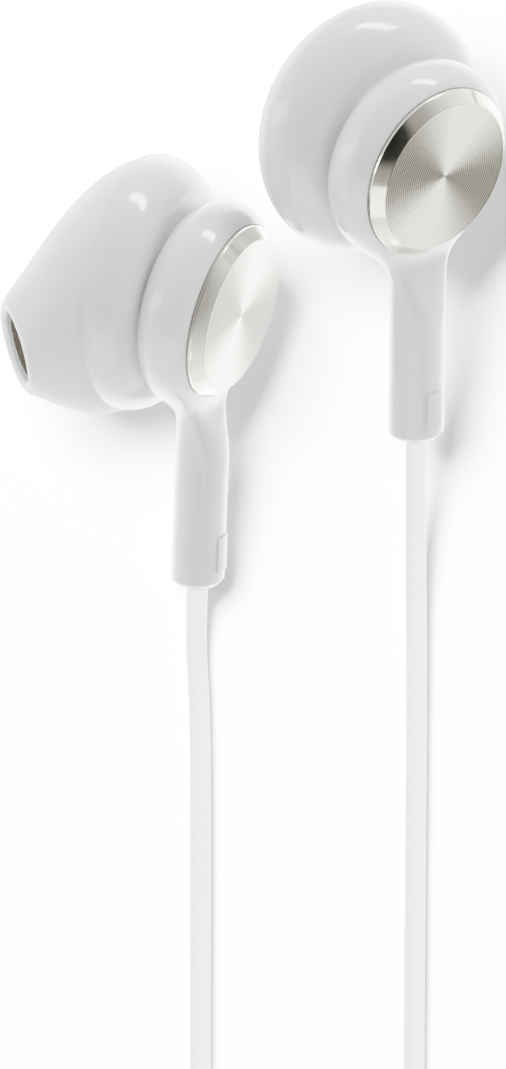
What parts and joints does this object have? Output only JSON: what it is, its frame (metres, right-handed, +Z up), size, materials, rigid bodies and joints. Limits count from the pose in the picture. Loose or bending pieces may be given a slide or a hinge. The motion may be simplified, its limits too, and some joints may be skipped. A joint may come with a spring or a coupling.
{
  "type": "neckband earphones",
  "caption": "Wired earbuds with turned metal discs and soft angled ear sleeves on thin cords from a flexible U-shaped neckband with a pod at each end.",
  "frame": {"origin": "middle of the footprint of the set lying flat, without its cords, on the table surface", "axes": "+Z up off the table, +Y from the pods toward the crown of the neckband, +X toward the right arm and the right bud"},
  "size_m": [0.13, 0.1738, 0.0188],
  "materials": {
    "aluminium_disc": "finely turned face, satin",
    "white_gloss": "smooth moulded gloss",
    "white_case": "smooth moulded gloss",
    "white_silicone": "soft matte silicone",
    "band_silicone": "soft matte silicone",
    "white_cord": "satin jacket",
    "dark_mesh": "fine woven mesh",
    "spring_steel": "drawn wire",
    "magnet_nickel": "plated",
    "driver_black": "moulded",
    "copper_coil": "wound wire",
    "film": "thin film",
    "collar_metal": "polished ring",
    "board_green": "solder mask",
    "battery_foil": "foil wrap",
    "socket_steel": "stamped",
    "switch_black": "moulded",
    "button_white": "satin",
    "lamp_clear": "frosted light pipe"
  },
  "bodies": {
    "neckband": {"band_crown": "band_silicone", "wire_crown": "spring_steel"},
    "arm_left": {"band_flex_left": "band_silicone", "wire_flex_left": "spring_steel", "band_arm_left": "band_silicone", "wire_arm_left": "spring_steel", "band_collar_left": "collar_metal", "pod_top_left": "white_case", "pod_base_left": "white_case", "pod_bush_left": "white_cord", "cord_left": "white_cord", "battery": "battery_foil"},
    "bud_left": {"rear_shell_left": "white_gloss", "cap_disc_left": "aluminium_disc", "clasp_magnet_left": "magnet_nickel", "dome_shell_left": "white_gloss", "driver_frame_left": "driver_black", "driver_magnet_left": "magnet_nickel", "voice_coil_left": "copper_coil", "diaphragm_left": "film", "front_shell_left": "driver_black", "sound_mesh_left": "dark_mesh", "cord_bush_left": "white_cord", "stem_key_left": "white_gloss", "cord_flex_left": "white_cord"},
    "sleeve_left": {"ear_sleeve_left": "white_silicone"},
    "arm_right": {"band_flex_right": "band_silicone", "wire_flex_right": "spring_steel", "band_arm_right": "band_silicone", "wire_arm_right": "spring_steel", "band_collar_right": "collar_metal", "pod_top_right": "white_case", "pod_base_right": "white_case", "pod_bush_right": "white_cord", "cord_right": "white_cord", "circuit_board": "board_green", "usb_socket": "socket_steel", "volume_up_switch": "switch_black", "call_button_switch": "switch_black", "volume_down_switch": "switch_black", "status_lamp": "lamp_clear"},
    "bud_right": {"rear_shell_right": "white_gloss", "cap_disc_right": "aluminium_disc", "clasp_magnet_right": "magnet_nickel", "dome_shell_right": "white_gloss", "driver_frame_right": "driver_black", "driver_magnet_right": "magnet_nickel", "voice_coil_right": "copper_coil", "diaphragm_right": "film", "front_shell_right": "driver_black", "sound_mesh_right": "dark_mesh", "cord_bush_right": "white_cord", "stem_key_right": "white_gloss", "cord_flex_right": "white_cord"},
    "sleeve_right": {"ear_sleeve_right": "white_silicone"},
    "volume_up": {"volume_up": "button_white"},
    "call_button": {"call_button": "button_white"},
    "volume_down": {"volume_down": "button_white"},
    "usb_flap": {"usb_flap": "white_silicone"}
  },
  "joints": [
    {"name": "arm_left_open", "type": "hinge", "parent": "neckband", "child": "arm_left", "pos_m": [-0.01709, 0.0666, 0.00215], "axis": [0, 0, -1], "range_deg": [0, 10], "stiffness_Nm_per_rad": 0.4, "deforming": ["band_flex_left", "wire_flex_left"]},
    {"name": "bud_left_lift", "type": "hinge", "parent": "arm_left", "child": "bud_left", "pos_m": [-0.00362, 0.00473, 0.00212], "axis": [1, 0, 0], "range_deg": [0, 60], "deforming": ["cord_flex_left"]},
    {"name": "sleeve_left_pull", "type": "slide", "parent": "bud_left", "child": "sleeve_left", "axis": [-0.9778, -0.1866, 0.0958], "range_m": [0, 0.008]},
    {"name": "arm_right_open", "type": "hinge", "parent": "neckband", "child": "arm_right", "pos_m": [0.01709, 0.0666, 0.00215], "axis": [0, 0, 1], "range_deg": [0, 10], "stiffness_Nm_per_rad": 0.4, "deforming": ["band_flex_right", "wire_flex_right"]},
    {"name": "bud_right_lift", "type": "hinge", "parent": "arm_right", "child": "bud_right", "pos_m": [0.01054, 0.01425, 0.00469], "axis": [1, 0, 0], "range_deg": [0, 60], "deforming": ["cord_flex_right"]},
    {"name": "sleeve_right_pull", "type": "slide", "parent": "bud_right", "child": "sleeve_right", "axis": [-0.0154, 0.2525, -0.9675], "range_m": [0, 0.008]},
    {"name": "volume_up_press", "type": "slide", "parent": "arm_right", "child": "volume_up", "axis": [0, 0, -1], "range_m": [0, 0.0003], "stiffness_N_per_m": 400},
    {"name": "call_button_press", "type": "slide", "parent": "arm_right", "child": "call_button", "axis": [0, 0, -1], "range_m": [0, 0.0003], "stiffness_N_per_m": 400},
    {"name": "volume_down_press", "type": "slide", "parent": "arm_right", "child": "volume_down", "axis": [0, 0, -1], "range_m": [0, 0.0003], "stiffness_N_per_m": 400},
    {"name": "usb_flap_open", "type": "hinge", "parent": "arm_right", "child": "usb_flap", "pos_m": [0.06316, -0.02698, 0.0031], "axis": [0.1736, 0.9848, 0], "range_deg": [0, 95]}
  ]
}
